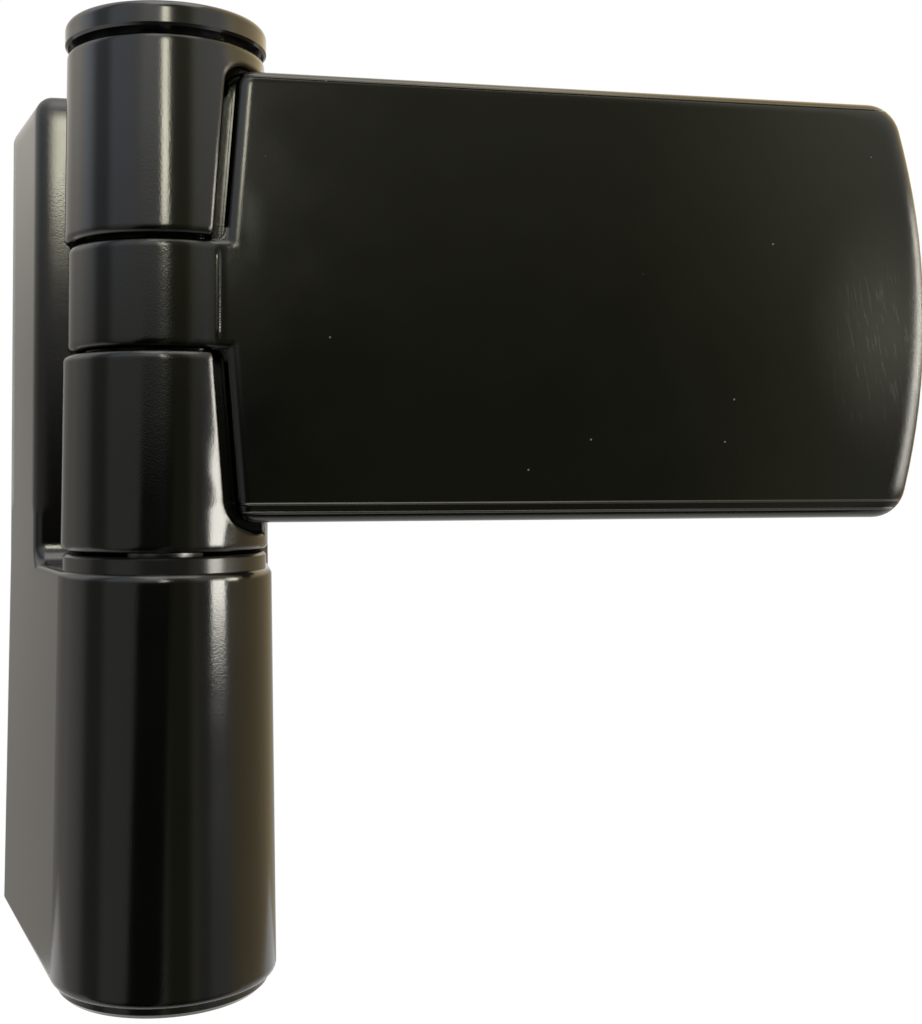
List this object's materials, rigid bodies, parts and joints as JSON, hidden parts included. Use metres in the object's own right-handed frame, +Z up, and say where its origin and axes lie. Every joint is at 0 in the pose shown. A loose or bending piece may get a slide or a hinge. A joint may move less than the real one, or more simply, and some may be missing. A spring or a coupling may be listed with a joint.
{
  "type": "flag hinge",
  "caption": "Surface-mounted flag hinge for a door: a lower frame barrel with a backing post, an upper barrel with a long flag, and height and sideways adjusters.",
  "frame": {"origin": "centre of the four frame-fixing holes, on the back face of the frame body", "axes": "+X along the closed flag, +Y out of the back face into the door frame, +Z up along the hinge axis"},
  "size_m": [0.116, 0.0448, 0.1138],
  "materials": {
    "black_coat": "satin-gloss black powder coat",
    "black_cap": "moulded black plastic",
    "black_acetal": "moulded black acetal",
    "zinc_steel": "zinc-plated steel"
  },
  "bodies": {
    "frame": {"frame_body": "black_coat", "frame_bush": "black_acetal", "bottom_cap": "black_cap"},
    "lift": {"thrust_pad": "black_acetal"},
    "jack": {"height_screw": "zinc_steel"},
    "knuckle": {"sash_barrel": "black_coat", "hinge_pin": "zinc_steel", "pin_screw": "zinc_steel", "pin_washer": "zinc_steel", "top_cap": "black_cap", "flag_cover": "black_coat"},
    "leaf": {"flag_plate": "zinc_steel", "clamp_screws": "zinc_steel", "clamp_washers": "zinc_steel"},
    "side_drive": {"lateral_screw": "zinc_steel"}
  },
  "joints": [
    {"name": "height_lift", "type": "slide", "parent": "frame", "child": "lift", "axis": [0, 0, 1], "range_m": [0, 0.004]},
    {"name": "height_turn", "type": "hinge", "parent": "lift", "child": "jack", "pos_m": [0, -0.0315, -0.0675], "axis": [0, 0, 1], "range_deg": [0, 961]},
    {"name": "door_swing", "type": "hinge", "parent": "lift", "child": "knuckle", "pos_m": [0, -0.0315, 0], "axis": [0, 0, -1], "range_deg": [0, 180]},
    {"name": "side_shift", "type": "slide", "parent": "knuckle", "child": "leaf", "axis": [1, 0, 0], "range_m": [-0.003, 0.003]},
    {"name": "side_turn", "type": "hinge", "parent": "leaf", "child": "side_drive", "pos_m": [0.0785, -0.0359, 0.0025], "axis": [1, 0, 0], "range_deg": [-1351, 1351]}
  ],
  "couplings": [
    {"joint": "height_turn", "follows": "height_lift", "rad_per_m": 4188.8},
    {"joint": "side_turn", "follows": "side_shift", "rad_per_m": 7854}
  ]
}
